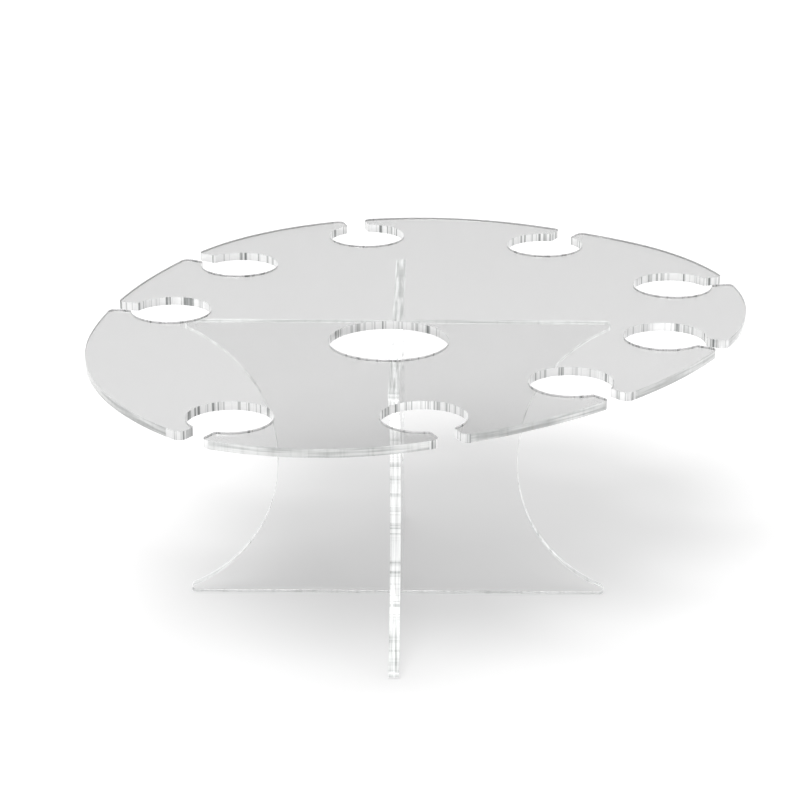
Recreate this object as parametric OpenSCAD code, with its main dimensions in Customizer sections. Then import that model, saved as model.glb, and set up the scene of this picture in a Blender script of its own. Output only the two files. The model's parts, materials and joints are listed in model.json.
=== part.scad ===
// Champagne flute holder: a clear tray with keyhole slots, lying on two crossed panels.
// All three pieces are cut from flat clear sheet.
// X runs along the tray's long axis, Z is up, and the origin is on the table.

/* [Tray] */
// overall length of the tray
tray_len = 352.2; // [330:0.1:400]
// overall width of the tray
tray_w = 289.7; // [270:0.1:320]
// thickness of the tray's sheet
tray_t = 4; // [3:0.5:8]

/* [Rim] */
// radius of the blunt end
end_r = 277; // [240:1:320]
// radius of the corner on the left of the blunt end
left_corner_r = 131; // [110:1:150]
// radius of the cheek on the left of the nose
left_cheek_r = 165; // [140:1:190]
// radius of the nose
nose_r = 50; // [40:1:60]
// radius of the cheek on the right of the nose
right_cheek_r = 115; // [95:1:135]
// radius of the corner on the right of the blunt end
right_corner_r = 127; // [110:1:150]

/* [Slots] */
// diameter of the hole that a stem stands in
slot_d = 38.2; // [30:0.2:42]
// how far the middle of a hole lies inside the rim
slot_inset = 28.7; // [26:0.1:36]
// width of the mouth that the stem passes on its way in
mouth_w = 11; // [8:0.2:14]
// rounding where a mouth meets the rim
horn_r = 3.5; // [2:0.5:5]
// rounding where a mouth meets its hole
lobe_r = 1.6; // [0.5:0.1:3]

/* [Middle hole] */
// diameter of the finger hole
finger_d = 55.8; // [40:0.2:70]
// place of the finger hole along the tray
finger_x = -24.3; // [-40:0.1:0]
// place of the finger hole across the tray
finger_y = -6.7; // [-20:0.1:20]

/* [Stand] */
// width of a panel at its feet and at its top
stand_w = 200.8; // [180:0.2:230]
// height of a panel
stand_h = 136; // [110:1:150]
// width of a panel at its waist
waist_w = 115.2; // [90:0.2:140]
// thickness of the panels' sheet
panel_t = 5; // [3:0.5:8]
// rounding of a panel's four tips
tip_r = 2; // [1:0.1:3]
// free play between a slot and the panel that slides into it
lap_play = 0.2; // [0.1:0.05:0.6]

/* [Tray on the stand] */
// turn of the stand under the tray
stand_turn = -62.3; // [-90:0.1:90]
// place of the stand's axis along the tray
stand_x = 5.1; // [-10:0.1:10]
// place of the stand's axis across the tray
stand_y = 4.7; // [-10:0.1:10]

/* [Hidden] */
$fn = 96;

// how far a rounded corner runs past the curve that it meets, so that the two cross cleanly
dip = 0.02;

// each slot: the outward direction of the rim beside it, then the mouth's own turn away from that
// the tenth place, at 130 degrees, is left uncut
slots = [
    [358.5, 0],
    [44, 0], [314.3, 0],
    [88.9, 0], [271.7, 0],
    [105.4, 0], [252.6, 0],
    [233.3, 0],
    [166.6, 9]
];

// The rim is a closed chain of eight arcs that touch: blunt end, left corner, left flank, left cheek,
// nose, right cheek, right flank and right corner.
// An arc hands over to the next in one outward direction, and the next one goes on from there.
hand_over = [4, 88, 113, 165, 186, 230, 275, 352];
// how far the walk along each arc leads for every millimetre of its radius
stride = [for (k = [0:7]) ray(hand_over[k]) - ray(hand_over[(k + 7) % 8])];
// where the walk ends without the two flanks, whose radii then bring it home
stray = end_r * stride[0] + left_corner_r * stride[1] + left_cheek_r * stride[3]
      + nose_r * stride[4] + right_cheek_r * stride[5] + right_corner_r * stride[7];
left_flank_r = cross(stride[6], stray) / cross(stride[2], stride[6]);
right_flank_r = cross(stray, stride[2]) / cross(stride[2], stride[6]);
radii = [end_r, left_corner_r, left_flank_r, left_cheek_r,
         nose_r, right_cheek_r, right_flank_r, right_corner_r];

// the chain's own extents, which the overall length and width stretch if they differ
own_len = chain_point(0).x - chain_point(180).x;
own_w = chain_point(90).y - chain_point(270).y;
own_mid = [chain_point(0).x + chain_point(180).x, chain_point(90).y + chain_point(270).y] / 2;
stretch = [tray_len / own_len, tray_w / own_w];

function bearing(from, to) = atan2(to.y - from.y, to.x - from.x);
function ray(angle) = [cos(angle), sin(angle)];

// which arc faces an outward direction, and where the centre of an arc lies
function arc_at(out) = len([for (h = hand_over) if (h < out) h]) % 8;
function centre(k) =
    k == 0 ? [0, 0] : centre(k - 1) + (radii[k - 1] - radii[k]) * ray(hand_over[k - 1]);
function chain_point(out) = centre(arc_at(out)) + radii[arc_at(out)] * ray(out);

// the rim's point that faces an outward direction, and that direction on the stretched rim
function rim_point(out) =
    let (p = chain_point(out) - own_mid) [p.x * stretch.x, p.y * stretch.y];
function rim_out(out) = atan2(sin(out) / stretch.y, cos(out) / stretch.x);

// points along an arc, and a path walked backwards, mirrored where a factor is -1
function arc(c, r, from, to, n) =
    [for (i = [0:n]) c + r * ray(from + (to - from) * i / n)];
function back(path, flip) =
    [for (i = [len(path) - 1:-1:0]) [path[i].x * flip.x, path[i].y * flip.y]];

module rim() {
    polygon([for (out = [0:1.5:358.5]) rim_point(out)]);
}

// One lip of a keyhole slot, from the hole to past the rim, with the hole at the origin and the mouth along X.
// A lobe is a small arc from the hole to the mouth's wall, and a horn is one from the wall to the rim.
function lip(side, rim_c, rim_r) =
    let (lobe_y = side * (mouth_w / 2 + lobe_r),
         lobe = [sqrt(pow(slot_d / 2 + lobe_r - dip, 2) - lobe_y * lobe_y), lobe_y],
         horn_y = side * (mouth_w / 2 + horn_r),
         horn = [rim_c.x + sqrt(pow(rim_r - horn_r + dip, 2) - pow(horn_y - rim_c.y, 2)), horn_y],
         out = bearing(rim_c, horn))
    concat(
        arc(lobe, lobe_r, bearing(lobe, [0, 0]), -90 * side, 6),
        arc(horn, horn_r, -90 * side, out, 8),
        [horn + (horn_r + 4) * ray(out)]
    );

module keyhole(rim_c, rim_r) {
    circle(slot_d / 2);
    polygon(concat([[0, 0]], lip(1, rim_c, rim_r), back(lip(-1, rim_c, rim_r), [1, 1])));
}

module tray() {
    color([0.86, 0.87, 0.87])
    translate([0, 0, stand_h])
    linear_extrude(tray_t)
    difference() {
        rim();
        for (k = slots) {
            out = rim_out(k[0]);
            rim_r = radii[arc_at(k[0])];
            translate(rim_point(k[0]) - slot_inset * ray(out)) rotate(out + k[1])
                keyhole((slot_inset - rim_r) * ray(-k[1]), rim_r);
        }
        translate([finger_x, finger_y]) circle(finger_d / 2);
    }
}

// Outline of a panel: two big discs bite its sides down to the waist.
// Each tip is a small arc that runs from the top or foot edge into the bite.
tip_x = stand_w / 2 - tip_r;
tip_y = stand_h / 2 - tip_r;
tip_out = tip_x - waist_w / 2;
bite_r = (tip_out * tip_out + tip_y * tip_y - tip_r * tip_r) / (2 * (tip_out + tip_r));
bite_x = waist_w / 2 + bite_r;

module hourglass() {
    tip = [tip_x, tip_y];
    bite = [bite_x, 0];
    lean = bearing(tip, bite);
    side = concat(
        arc(tip, tip_r, 90, lean, 10),
        arc(bite, bite_r, 180 + lean, 180 - lean, 44),
        arc([tip_x, -tip_y], tip_r, -lean, -90, 10)
    );
    polygon(concat(side, back(side, [-1, 1])));
}

// A panel standing on its feet, with a half-lap slot open upwards or downwards.
module panel(up) {
    lap_w = panel_t + lap_play;
    translate([0, panel_t / 2, stand_h / 2])
    rotate([90, 0, 0])
    linear_extrude(panel_t)
    difference() {
        hourglass();
        translate([-lap_w / 2, up ? 0 : -stand_h / 2 - 1]) square([lap_w, stand_h / 2 + 1]);
    }
}

module stand_panel_slot_up() {
    color([0.84, 0.85, 0.85])
    translate([stand_x, stand_y, 0]) rotate(stand_turn) panel(true);
}

module stand_panel_slot_down() {
    color([0.8, 0.83, 0.82])
    translate([stand_x, stand_y, 0]) rotate(stand_turn + 90) panel(false);
}

tray();
stand_panel_slot_up();
stand_panel_slot_down();
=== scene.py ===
import json
import math

import bpy
from mathutils import Matrix, Vector

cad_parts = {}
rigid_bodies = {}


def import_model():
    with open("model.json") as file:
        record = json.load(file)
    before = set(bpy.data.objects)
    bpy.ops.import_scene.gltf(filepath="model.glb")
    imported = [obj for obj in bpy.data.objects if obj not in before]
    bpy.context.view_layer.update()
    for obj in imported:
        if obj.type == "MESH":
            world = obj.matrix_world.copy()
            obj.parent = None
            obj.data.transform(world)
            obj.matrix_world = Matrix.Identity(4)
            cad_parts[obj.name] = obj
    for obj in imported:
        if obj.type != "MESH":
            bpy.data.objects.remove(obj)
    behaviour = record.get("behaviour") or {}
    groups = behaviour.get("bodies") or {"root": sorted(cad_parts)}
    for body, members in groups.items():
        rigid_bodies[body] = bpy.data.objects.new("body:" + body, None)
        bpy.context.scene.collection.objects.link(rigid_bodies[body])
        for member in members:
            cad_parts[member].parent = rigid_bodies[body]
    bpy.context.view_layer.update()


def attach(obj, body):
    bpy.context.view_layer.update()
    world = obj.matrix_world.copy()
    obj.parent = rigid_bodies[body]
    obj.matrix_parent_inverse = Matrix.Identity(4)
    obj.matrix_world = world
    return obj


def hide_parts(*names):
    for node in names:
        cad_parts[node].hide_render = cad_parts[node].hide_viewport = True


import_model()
mm = 0.001


def linear(hexColour):
    # sRGB hex to the linear values that the shaders take
    parts = [int(hexColour[i:i + 2], 16) / 255 for i in (1, 3, 5)]
    return [p / 12.92 if p <= 0.04045 else ((p + 0.055) / 1.055) ** 2.4 for p in parts] + [1.0]


def addNode(tree, kind, settings=None, inputs=None, links=None):
    # one node with its settings, its fixed inputs and the sockets that feed it
    node = tree.nodes.new(kind)
    for name, value in (settings or {}).items():
        setattr(node, name, value)
    for name, value in (inputs or {}).items():
        node.inputs[name].default_value = value
    for name, source in (links or {}).items():
        tree.links.new(source, node.inputs[name])
    return node


# outlines are flat lists of points in millimetres
def ray(angle):
    return Vector((math.cos(math.radians(angle)), math.sin(math.radians(angle))))


def bearing(start, end):
    return math.degrees(math.atan2(end.y - start.y, end.x - start.x))


def arcPoints(centre, radius, start, stop, steps):
    return [centre + radius * ray(start + (stop - start) * i / steps) for i in range(steps + 1)]


def sheetSolid(name, outline, low, high):
    # a closed solid between two heights over an outline that runs anticlockwise
    count = len(outline)
    points = [(p.x * mm, p.y * mm, z * mm) for z in (low, high) for p in outline]
    faces = [[i, (i + 1) % count, (i + 1) % count + count, i + count] for i in range(count)]
    faces += [list(range(count))[::-1], list(range(count, 2 * count))]
    mesh = bpy.data.meshes.new(name)
    mesh.from_pydata(points, [], faces)
    mesh.validate()
    return bpy.data.objects.new(name, mesh)


acrylic = {
    "ior": 1.49,
    # cast faces
    "wavesPerMetre": 28.0, "waveHeight": 0.4 * mm, "waveRelief": 0.05,
    "dustPerMetre": 900.0, "dustLevels": (0.62, 0.8), "dustRoughness": 0.06,
    # cut edges
    "edgeClarity": 0.30,            # share of a cut edge that is seen through
    "edgeRoughness": (0.02, 0.16),
    "streakSpacing": 4.0 * mm,      # the laser's own streaks are finer than the view shows
    "streakLevels": (0.38, 0.50),   # where the noise turns from a dark streak to a bright one
    # the streaks' dark and light tones are painted reflection on the laser's real marks
    "streakPaintedDark": "#7f8382", "streakPaintedLight": "#ffffff",
    "streakHeight": 0.15 * mm, "streakRelief": 0.35,
    "lineSpacing": 1.2 * mm,        # painted reflection: lines where the faces mirror each other inside the sheet
    "lineLevels": (0.38, 0.62),
    "lineShrink": 0.96,             # how much the lines' noise is drawn out along a wall
}


def clearAcrylic(name):
    # an empty PMMA material, with the object's own place as the ground for its patterns
    material = bpy.data.materials.new(name)
    material.use_nodes = True
    tree = material.node_tree
    tree.nodes.clear()
    return material, tree, addNode(tree, "ShaderNodeTexCoord").outputs["Object"]


def letLightThrough(tree, sheet, passed):
    # lamps and bounced light pass straight through to the floor, thinned at each surface
    through = addNode(tree, "ShaderNodeBsdfTransparent", inputs={"Color": [passed] * 3 + [1.0]})
    path = addNode(tree, "ShaderNodeLightPath")
    either = addNode(tree, "ShaderNodeMath", {"operation": "MAXIMUM"},
                     links={0: path.outputs["Is Shadow Ray"], 1: path.outputs["Is Diffuse Ray"]})
    both = addNode(tree, "ShaderNodeMixShader",
                   links={0: either.outputs[0], 1: sheet.outputs[0], 2: through.outputs[0]})
    addNode(tree, "ShaderNodeOutputMaterial", links={"Surface": both.outputs[0]})


def castFace(name, look):
    # PMMA cast against glass: a polished face, very slightly wavy, with a little dust
    material, tree, place = clearAcrylic(name)
    waves = addNode(tree, "ShaderNodeTexNoise",
                    inputs={"Scale": acrylic["wavesPerMetre"], "Detail": 1.0},
                    links={"Vector": place})
    bump = addNode(tree, "ShaderNodeBump",
                   inputs={"Strength": acrylic["waveRelief"], "Distance": acrylic["waveHeight"]},
                   links={"Height": waves.outputs["Fac"]})
    dust = addNode(tree, "ShaderNodeTexNoise",
                   inputs={"Scale": acrylic["dustPerMetre"], "Detail": 2.0},
                   links={"Vector": place})
    clean, dusty = acrylic["dustLevels"]
    shine = addNode(tree, "ShaderNodeMapRange",
                    inputs={"From Min": clean, "From Max": dusty,
                            "To Min": 0.0, "To Max": acrylic["dustRoughness"]},
                    links={"Value": dust.outputs["Fac"]})
    sheet = addNode(tree, "ShaderNodeBsdfPrincipled",
                    inputs={"Base Color": linear(look["faceTint"]), "IOR": acrylic["ior"],
                            "Transmission Weight": 1.0},
                    links={"Roughness": shine.outputs["Result"],
                           "Normal": bump.outputs["Normal"]})
    letLightThrough(tree, sheet, look["shadePassed"])
    return material


def laserCutEdge(name, turn, alongWall, look):
    # PMMA cut by laser: streaks across the sheet in painted dark and light reflection, painted
    # reflection lines, and a painted glow that stands for the light the sheet pipes to its edges
    # alongWall is 1 for the axes that run along the wall, and 0 for the way the laser's beam went
    material, tree, place = clearAcrylic(name)
    squared = addNode(tree, "ShaderNodeVectorRotate", {"rotation_type": "Z_AXIS"},
                      {"Angle": -math.radians(turn)}, {"Vector": place})
    drawn = addNode(tree, "ShaderNodeVectorMath", {"operation": "MULTIPLY"}, {1: alongWall},
                    {0: squared.outputs["Vector"]})
    streaks = addNode(tree, "ShaderNodeTexNoise",
                      inputs={"Scale": 1 / acrylic["streakSpacing"], "Detail": 4.0,
                              "Roughness": 0.8},
                      links={"Vector": drawn.outputs["Vector"]})
    bump = addNode(tree, "ShaderNodeBump",
                   inputs={"Strength": acrylic["streakRelief"],
                           "Distance": acrylic["streakHeight"]},
                   links={"Height": streaks.outputs["Fac"]})
    smooth, rough = acrylic["edgeRoughness"]
    shine = addNode(tree, "ShaderNodeMapRange", inputs={"To Min": smooth, "To Max": rough},
                    links={"Value": streaks.outputs["Fac"]})
    dark, light = acrylic["streakLevels"]
    tone = addNode(tree, "ShaderNodeMapRange", inputs={"From Min": dark, "From Max": light},
                   links={"Value": streaks.outputs["Fac"]})
    # the laser's streaks, in tones of painted reflection from dark to light
    streaksAndPaintedReflection = addNode(tree, "ShaderNodeMix", {"data_type": "RGBA"},
                       {6: linear(acrylic["streakPaintedDark"]), 7: linear(acrylic["streakPaintedLight"])},
                       {0: tone.outputs["Result"]})
    # painted reflection lines that run far along the wall and change quickly across it
    drawnOut = addNode(tree, "ShaderNodeVectorMath", {"operation": "MULTIPLY"},
                       {1: [1 - acrylic["lineShrink"] * along for along in alongWall]},
                       {0: squared.outputs["Vector"]})
    lines = addNode(tree, "ShaderNodeTexNoise",
                    inputs={"Scale": 1 / acrylic["lineSpacing"], "Detail": 2.0},
                    links={"Vector": drawnOut.outputs["Vector"]})
    dark, light = acrylic["lineLevels"]
    level = addNode(tree, "ShaderNodeMapRange", inputs={"From Min": dark, "From Max": light},
                    links={"Value": lines.outputs["Fac"]})
    lineDark, lineLight = look["paintedLineTones"]
    paintedLines = addNode(tree, "ShaderNodeMix", {"data_type": "RGBA"},
                    {6: linear(lineDark), 7: linear(lineLight)}, {0: level.outputs["Result"]})
    # each face of the wall says how much it is streaked and how strong its painted glow is
    share = addNode(tree, "ShaderNodeAttribute", {"attribute_name": "streakShare"})
    glow = addNode(tree, "ShaderNodeAttribute", {"attribute_name": "paintedEdgeGlow"})
    colour = addNode(tree, "ShaderNodeMix", {"data_type": "RGBA"}, None,
                     {0: share.outputs["Fac"], 6: paintedLines.outputs[2], 7: streaksAndPaintedReflection.outputs[2]})
    # the wall's colour is also its emission: a painted glow, where no lamp is
    edge = addNode(tree, "ShaderNodeBsdfPrincipled",
                   inputs={"IOR": acrylic["ior"], "Transmission Weight": acrylic["edgeClarity"]},
                   links={"Base Color": colour.outputs[2], "Emission Color": colour.outputs[2],
                          "Emission Strength": glow.outputs["Fac"],
                          "Roughness": shine.outputs["Result"],
                          "Normal": bump.outputs["Normal"]})
    letLightThrough(tree, edge, look["shadePassed"])
    return material


tray = {
    "length": 352.2, "width": 289.7,
    "low": 136.05, "high": 140.0,   # a hair above the panels, so that no two faces share a plane
    "handOver": [4, 88, 113, 165, 186, 230, 275, 352],
    "endRadius": 277.0, "leftCornerRadius": 131.0, "leftCheekRadius": 165.0,
    "noseRadius": 50.0, "rightCheekRadius": 115.0, "rightCornerRadius": 127.0,
    "slotInset": 28.7, "holeRadius": 19.1, "mouthWidth": 11.0,
    "hornRadius": 3.5, "lobeRadius": 1.6,
    "lobeSteps": 8, "hornSteps": 12, "holeSteps": 110,
    "fingerHoleRadius": 27.9, "fingerHolePlace": (-24.3, -6.7),
    "edgeBreak": 0.3,
    # near colourless, with the faint grey of clear cast sheet
    "faceTint": "#e5e5e5",
    "paintedLineTones": ("#bcbebd", "#eeefee"),    # painted reflection lines of a cut wall, from its dark ones to its light ones
    "wallStreaks": 0.12, "curveStreaks": 1.0,   # long sweeps hardly show streaks, tight curves do
    "paintedEdgeGlow": 0.16,               # painted glow on the cut edges, standing for light that the sheet pipes to them
    "shadePassed": 0.47,            # light that one surface lets through to the floor
    # each slot: the outward direction of the rim beside it, then the mouth's own turn from that
    "slots": [(358.5, 0), (44, 0), (314.3, 0), (88.9, 0), (271.7, 0), (105.4, 0), (252.6, 0),
              (233.3, 0), (166.6, 9)],
}
# all lengths are in millimetres
cutting = {
    "keyholeSpan": (-3, 7),         # from the sheet's underside, past both of its faces
    "drillLength": 20, "drillRise": 2,
    "crossing": 0.02,               # a touch past the rim, so that the cut crosses it
    "runOut": 4,                    # how far a horn's cut goes on outside the rim
    "slotMargin": 1.5, "holeMargin": 1.0,   # how far streaks reach past the slots and the hole
}


def rimArcs():
    # a closed chain of eight arcs that touch; the flanks get the radii that bring the walk home
    turns = tray["handOver"]
    radii = [tray["endRadius"], tray["leftCornerRadius"], 0, tray["leftCheekRadius"],
             tray["noseRadius"], tray["rightCheekRadius"], 0, tray["rightCornerRadius"]]
    strides = [ray(turns[k]) - ray(turns[k - 1]) for k in range(len(turns))]
    stray = sum((r * s for r, s in zip(radii, strides)), Vector((0, 0)))
    leftFlank, rightFlank = 2, 6
    between = strides[leftFlank].cross(strides[rightFlank])
    radii[leftFlank] = strides[rightFlank].cross(stray) / between
    radii[rightFlank] = stray.cross(strides[leftFlank]) / between
    centres = [Vector((0, 0))]
    for k in range(1, len(turns)):
        centres.append(centres[-1] + (radii[k - 1] - radii[k]) * ray(turns[k - 1]))
    return centres, radii


centres, radii = rimArcs()


def rimArc(out):
    # which arc of the chain faces an outward direction
    return sum(turn < out for turn in tray["handOver"]) % len(radii)


def chainPoint(out):
    return centres[rimArc(out)] + radii[rimArc(out)] * ray(out)


right, top, left, bottom = (chainPoint(out) for out in (0, 90, 180, 270))
chainMiddle = Vector((right.x + left.x, top.y + bottom.y)) / 2
stretch = Vector((tray["length"] / (right.x - left.x), tray["width"] / (top.y - bottom.y)))


def rimPoint(out):
    return (chainPoint(out) - chainMiddle) * stretch


def keyholeOutline(rimCentre, rimRadius):
    # a round stem hole at the origin with its mouth along X, lobes at the hole, horns at the rim
    lobeRadius, hornRadius = tray["lobeRadius"], tray["hornRadius"]
    middle = Vector((0, 0))
    lips = []
    for side in (-1, 1):
        lobe = Vector((0, side * (tray["mouthWidth"] / 2 + lobeRadius)))
        lobe.x = math.sqrt((tray["holeRadius"] + lobeRadius) ** 2 - lobe.y ** 2)
        horn = Vector((0, side * (tray["mouthWidth"] / 2 + hornRadius)))
        reach = rimRadius - hornRadius + cutting["crossing"]
        horn.x = rimCentre.x + math.sqrt(reach ** 2 - (horn.y - rimCentre.y) ** 2)
        outward = bearing(rimCentre, horn)
        wall = -90 * side
        lips.append(arcPoints(lobe, lobeRadius, bearing(lobe, middle), wall, tray["lobeSteps"])
                    + arcPoints(horn, hornRadius, wall, outward, tray["hornSteps"])
                    + [horn + (hornRadius + cutting["runOut"]) * ray(outward)])
    touch = bearing(middle, lips[1][0])
    hole = arcPoints(middle, tray["holeRadius"], touch, 360 - touch, tray["holeSteps"])
    return hole[1:-1] + lips[0] + lips[1][::-1]


def slotPatternNodes():
    # the keyholes are set at their places on the rim and cut from the blank sheet
    tree = bpy.data.node_groups.new("slotPattern", "GeometryNodeTree")
    for name, way, kind in (("Blank", "INPUT", "Geometry"),
                            ("Keyholes", "INPUT", "Collection"),
                            ("Places", "INPUT", "Object"),
                            ("Finger Hole Radius", "INPUT", "Float"),
                            ("Finger Hole Place", "INPUT", "Vector"),
                            ("Drill Length", "INPUT", "Float"),
                            ("Sheet", "INPUT", "Material"),
                            ("Cut Sheet", "OUTPUT", "Geometry")):
        tree.interface.new_socket(name, in_out=way, socket_type="NodeSocket" + kind)
    given = addNode(tree, "NodeGroupInput").outputs
    keyholes = addNode(tree, "GeometryNodeCollectionInfo",
                       inputs={"Separate Children": True, "Reset Children": True},
                       links={"Collection": given["Keyholes"]})
    places = addNode(tree, "GeometryNodeObjectInfo", links={"Object": given["Places"]})
    turn = addNode(tree, "GeometryNodeInputNamedAttribute", {"data_type": "FLOAT"},
                   {"Name": "turn"})
    about = addNode(tree, "ShaderNodeCombineXYZ", links={"Z": turn.outputs["Attribute"]})
    order = addNode(tree, "GeometryNodeInputIndex")
    placed = addNode(tree, "GeometryNodeInstanceOnPoints", inputs={"Pick Instance": True},
                     links={"Points": places.outputs["Geometry"],
                            "Instance": keyholes.outputs["Instances"],
                            "Instance Index": order.outputs["Index"],
                            "Rotation": about.outputs["Vector"]})
    cutters = addNode(tree, "GeometryNodeRealizeInstances",
                      links={"Geometry": placed.outputs["Instances"]})
    rod = addNode(tree, "GeometryNodeMeshCylinder", inputs={"Vertices": 144},
                  links={"Radius": given["Finger Hole Radius"], "Depth": given["Drill Length"]})
    drill = addNode(tree, "GeometryNodeTransform",
                    links={"Geometry": rod.outputs["Mesh"],
                           "Translation": given["Finger Hole Place"]})
    sheet = given["Blank"]
    for cutter in (cutters, drill):
        cut = addNode(tree, "GeometryNodeMeshBoolean",
                      {"operation": "DIFFERENCE", "solver": "EXACT"},
                      links={"Mesh 1": sheet, "Mesh 2": cutter.outputs["Geometry"]})
        sheet = cut.outputs["Mesh"]
    realized = addNode(tree, "GeometryNodeRealizeInstances", links={"Geometry": sheet})
    finished = addNode(tree, "GeometryNodeSetMaterial",
                       links={"Geometry": realized.outputs["Geometry"],
                              "Material": given["Sheet"]})
    addNode(tree, "NodeGroupOutput", links={"Cut Sheet": finished.outputs["Geometry"]})
    return tree


# which corners are broken, which stay sharp to the eye, and how flat a face lies in its sheet
finish = {"breakAngle": 42, "breakSegments": 2, "sharpAngle": 28, "flatness": 0.999}


def finishSheet(piece, name, edgeBreak, normal, face, edge, edgeLook):
    # breaks the sharp edges, makes a plain mesh of the result, and parts faces from cut edges
    softened = piece.modifiers.new("edgeBreak", "BEVEL")
    softened.width = edgeBreak * mm
    softened.segments = finish["breakSegments"]
    softened.limit_method = "ANGLE"
    softened.angle_limit = math.radians(finish["breakAngle"])
    bpy.context.scene.collection.objects.link(piece)
    bpy.context.view_layer.update()
    evaluated = piece.evaluated_get(bpy.context.evaluated_depsgraph_get())
    mesh = bpy.data.meshes.new_from_object(evaluated)
    mesh.name = name
    piece.modifiers.clear()
    piece.data = mesh
    mesh.materials.clear()
    mesh.materials.append(face)
    mesh.materials.append(edge)
    mesh.set_sharp_from_angle(angle=math.radians(finish["sharpAngle"]))
    for polygon in mesh.polygons:
        onFace = abs(polygon.normal.dot(normal)) > finish["flatness"]
        polygon.material_index = 0 if onFace else 1
        polygon.use_smooth = not onFace
    looks = [edgeLook(polygon) for polygon in mesh.polygons]
    for attribute, values in zip(("streakShare", "paintedEdgeGlow"), zip(*looks)):
        mesh.attributes.new(attribute, "FLOAT", "FACE").data.foreach_set("value", values)


keyholes = bpy.data.collections.new("keyholes")
placePoints, placeTurns = [], []
for out, turn in tray["slots"]:
    rimRadius = radii[rimArc(out)]
    outline = keyholeOutline((tray["slotInset"] - rimRadius) * ray(-turn), rimRadius)
    name = "keyhole" + str(len(placePoints))
    keyholes.objects.link(sheetSolid(name, outline, *cutting["keyholeSpan"]))
    place = rimPoint(out) - tray["slotInset"] * ray(out)
    placePoints.append((place.x * mm, place.y * mm, tray["low"] * mm))
    placeTurns.append(math.radians(out + turn))
placeMesh = bpy.data.meshes.new("keyholePlaces")
placeMesh.from_pydata(placePoints, [], [])
placeMesh.attributes.new("turn", "FLOAT", "POINT").data.foreach_set("value", placeTurns)
keyholePlaces = bpy.data.objects.new("keyholePlaces", placeMesh)

rimOutline = [rimPoint(out) for out in range(360)]
clearTray = sheetSolid("clearTray", rimOutline, tray["low"], tray["high"])
trayFace = castFace("castTrayFace", tray)
slotTree = slotPatternNodes()
slotPattern = clearTray.modifiers.new("slotPattern", "NODES")
slotPattern.node_group = slotTree
fingerX, fingerY = tray["fingerHolePlace"]
values = {
    "Keyholes": keyholes,
    "Places": keyholePlaces,
    "Finger Hole Radius": tray["fingerHoleRadius"] * mm,
    "Finger Hole Place": (fingerX * mm, fingerY * mm, (tray["low"] + cutting["drillRise"]) * mm),
    "Drill Length": cutting["drillLength"] * mm,
    "Sheet": trayFace,
}
sockets = {item.name: item.identifier for item in slotTree.interface.items_tree
           if item.in_out == "INPUT"}
for name, value in values.items():
    slotPattern[sockets[name]] = value
tightCurves = [(Vector(p[:2]), tray["slotInset"] + cutting["slotMargin"]) for p in placePoints]
tightCurves.append((Vector(tray["fingerHolePlace"]) * mm,
                    tray["fingerHoleRadius"] + cutting["holeMargin"]))
trayEdge = laserCutEdge("trayCutEdge", 0, (1, 1, 0), tray)


def trayEdgeLook(wall):
    tight = any((wall.center.xy - middle).length < reach * mm for middle, reach in tightCurves)
    return tray["curveStreaks"] if tight else tray["wallStreaks"], tray["paintedEdgeGlow"]


finishSheet(clearTray, "clearTray", tray["edgeBreak"], Vector((0, 0, 1)), trayFace, trayEdge,
            trayEdgeLook)
for helper in [*keyholes.objects, keyholePlaces]:
    bpy.data.objects.remove(helper)
bpy.data.collections.remove(keyholes)
print("tray cut,", len(clearTray.data.polygons), "faces")

stand = {
    "width": 200.8, "height": 136.0, "waist": 115.2, "thickness": 5.0, "tipRadius": 2.0,
    "tipSteps": 12, "biteSteps": 90,
    "lapPlay": 0.2,
    "lapOverrun": 0.05,             # so that the ends of the two slots don't share a plane
    "turn": -62.3, "place": (5.1, 4.7),
    "edgeBreak": 0.25,
    "faceTint": "#f6f6f6",
    # painted reflection lines of the cut walls, from dark to light
    "paintedLineTones": ("#a0a2a1", "#e2e4e3"),
    "flatStreaks": 0.15, "standingStreaks": 0.45, "flatNormal": 0.7,
    "paintedEdgeGlow": 0.5, "paintedTopGlow": 1.3, "glowRise": (90, 130),     # painted glow on the cut edges, stronger towards the top; the heights where it grows
    "shadePassed": 0.8,
}
panelFace = castFace("castPanelFace", stand)


def hourglassOutline(slotUp):
    # one panel seen square on, from its foot at Y = 0 up, with its half-lap slot
    halfHeight = stand["height"] / 2
    tipRadius, tipSteps = stand["tipRadius"], stand["tipSteps"]
    tip = Vector((stand["width"] / 2 - tipRadius, halfHeight - tipRadius))
    out = tip.x - stand["waist"] / 2
    biteRadius = (out ** 2 + tip.y ** 2 - tipRadius ** 2) / (2 * (out + tipRadius))
    bite = Vector((stand["waist"] / 2 + biteRadius, 0))
    lean = bearing(tip, bite)
    right = (arcPoints(Vector((tip.x, -tip.y)), tipRadius, -90, -lean, tipSteps)
             + arcPoints(bite, biteRadius, 180 - lean, 180 + lean, stand["biteSteps"])
             + arcPoints(tip, tipRadius, lean, 90, tipSteps))
    left = [Vector((-p.x, -p.y)) for p in right]
    slot = (stand["thickness"] + stand["lapPlay"]) / 2
    end = -stand["lapOverrun"]
    notch = [Vector((slot, halfHeight)), Vector((slot, end)),
             Vector((-slot, end)), Vector((-slot, halfHeight))]
    if slotUp:
        outline = right + notch + left
    else:
        outline = right + left + [Vector((-p.x, -p.y)) for p in notch]
    return [Vector((p.x, p.y + halfHeight)) for p in outline]


def panelEdgeLook(wall):
    # standing walls show more streaks than flat ones, and the painted glow grows towards the top
    # edge, lighting it where the tray shades it
    flat = abs(wall.normal.z) > stand["flatNormal"]
    start, full = stand["glowRise"]
    rise = min(max((wall.center.z / mm - start) / (full - start), 0), 1)
    glow = stand["paintedEdgeGlow"] + rise * (stand["paintedTopGlow"] - stand["paintedEdgeGlow"])
    return stand["flatStreaks"] if flat else stand["standingStreaks"], glow


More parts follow.
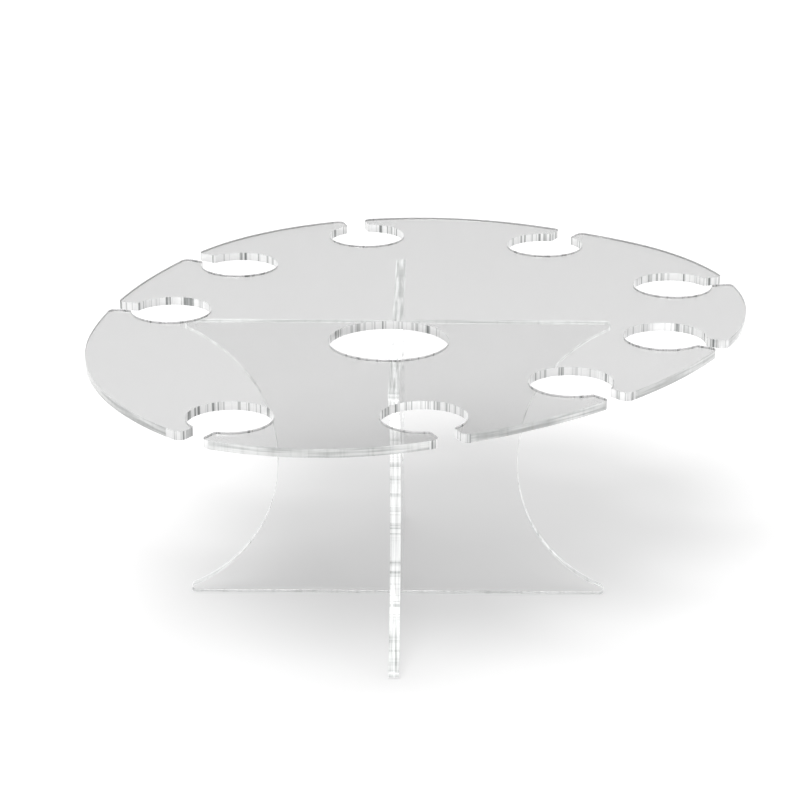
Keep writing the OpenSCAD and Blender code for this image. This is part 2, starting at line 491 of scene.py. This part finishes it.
def standPanel(name, slotUp, turn):
    half = stand["thickness"] / 2
    piece = sheetSolid(name, hourglassOutline(slotUp), -half, half)
    upright = (Matrix.Rotation(math.radians(turn), 4, "Z")
               @ Matrix.Rotation(math.radians(90), 4, "X"))
    x, y = stand["place"]
    piece.data.transform(Matrix.Translation((x * mm, y * mm, 0)) @ upright)
    edge = laserCutEdge(name + "CutEdge", turn, (1, 0, 1), stand)
    normal = upright.to_3x3() @ Vector((0, 0, 1))
    finishSheet(piece, name, stand["edgeBreak"], normal, panelFace, edge, panelEdgeLook)
    return piece


panelSlotUp = standPanel("panelSlotUp", True, stand["turn"])
panelSlotDown = standPanel("panelSlotDown", False, stand["turn"] + 90)
print("stand panels ready")

for piece, node in ((clearTray, "tray"), (panelSlotUp, "stand_panel_slot_up"),
                    (panelSlotDown, "stand_panel_slot_down")):
    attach(piece, "root")
    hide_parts(node)

# places and sizes in the studio are in metres
studio = {
    "floorColour": "#e7e7e7", "floorGlow": 0.37, "floorReach": 40, "floorHeight": -0.0003,
    "roomColour": "#a8a8a8",
    "lampAim": (0, 0, 0.08),
    "overheadPlace": (-1.40, -0.22, 2.2), "overheadLight": 2.25, "overheadSpread": 38,
    "sidePlace": (0.45, -1.3, 0.9), "sideSize": (0.7, 0.9), "sideLamp": 0.8,
}


def whiteFloor():
    reach, height = studio["floorReach"], studio["floorHeight"]
    corners = [(x * reach, y * reach, height) for x, y in ((-1, -1), (1, -1), (1, 1), (-1, 1))]
    mesh = bpy.data.meshes.new("floor")
    mesh.from_pydata(corners, [], [(0, 1, 2, 3)])
    floor = bpy.data.objects.new("floor", mesh)
    bpy.context.scene.collection.objects.link(floor)
    # a white sweep: its own glow shows to the eye and in the acrylic, and lights nothing
    material = bpy.data.materials.new("whiteSweep")
    material.use_nodes = True
    tree = material.node_tree
    tree.nodes.clear()
    paint = addNode(tree, "ShaderNodeBsdfDiffuse",
                    inputs={"Color": linear(studio["floorColour"])})
    path = addNode(tree, "ShaderNodeLightPath")
    seen = path.outputs["Is Camera Ray"]
    for kind in ("Is Glossy Ray", "Is Transmission Ray"):
        either = addNode(tree, "ShaderNodeMath", {"operation": "MAXIMUM"},
                         links={0: seen, 1: path.outputs[kind]})
        seen = either.outputs[0]
    level = addNode(tree, "ShaderNodeMath", {"operation": "MULTIPLY"},
                    {1: studio["floorGlow"]}, {0: seen})
    glow = addNode(tree, "ShaderNodeEmission", links={"Strength": level.outputs[0]})
    both = addNode(tree, "ShaderNodeAddShader", links={0: paint.outputs[0], 1: glow.outputs[0]})
    addNode(tree, "ShaderNodeOutputMaterial", links={"Surface": both.outputs[0]})
    mesh.materials.append(material)


def addLamp(name, kind, place):
    data = bpy.data.lights.new(name, kind)
    lamp = bpy.data.objects.new(name, data)
    lamp.location = place
    away = Vector(studio["lampAim"]) - Vector(place)
    lamp.rotation_euler = away.to_track_quat("-Z", "Y").to_euler()
    bpy.context.scene.collection.objects.link(lamp)
    return data


whiteFloor()
overhead = addLamp("overheadLight", "SUN", studio["overheadPlace"])
overhead.energy = studio["overheadLight"]
overhead.angle = math.radians(studio["overheadSpread"])
side = addLamp("sideSoftbox", "AREA", studio["sidePlace"])
side.shape = "RECTANGLE"
side.size, side.size_y = studio["sideSize"]
side.energy = studio["sideLamp"]
room = bpy.data.worlds.new("studioRoom")
bpy.context.scene.world = room
room.use_nodes = True
background = room.node_tree.nodes["Background"]
background.inputs["Color"].default_value = linear(studio["roomColour"])

view = {
    "place": (-1.14926, -0.62807, 0.57449), "heading": -61.32, "pitch": 19.85,
    "pixelsPerRadian": 2935.0, "pictureWidth": 800, "sensorWidth": 36, "farthest": 200,
}
cameraData = bpy.data.cameras.new("camera")
cameraData.sensor_width = view["sensorWidth"]
cameraData.lens = view["pixelsPerRadian"] / view["pictureWidth"] * view["sensorWidth"]
cameraData.clip_end = view["farthest"]
camera = bpy.data.objects.new("camera", cameraData)
camera.location = view["place"]
camera.rotation_euler = (math.radians(90 - view["pitch"]), 0, math.radians(view["heading"]))
bpy.context.scene.collection.objects.link(camera)
bpy.context.scene.camera = camera
bpy.context.scene.view_settings.view_transform = "Standard"
print("studio ready")
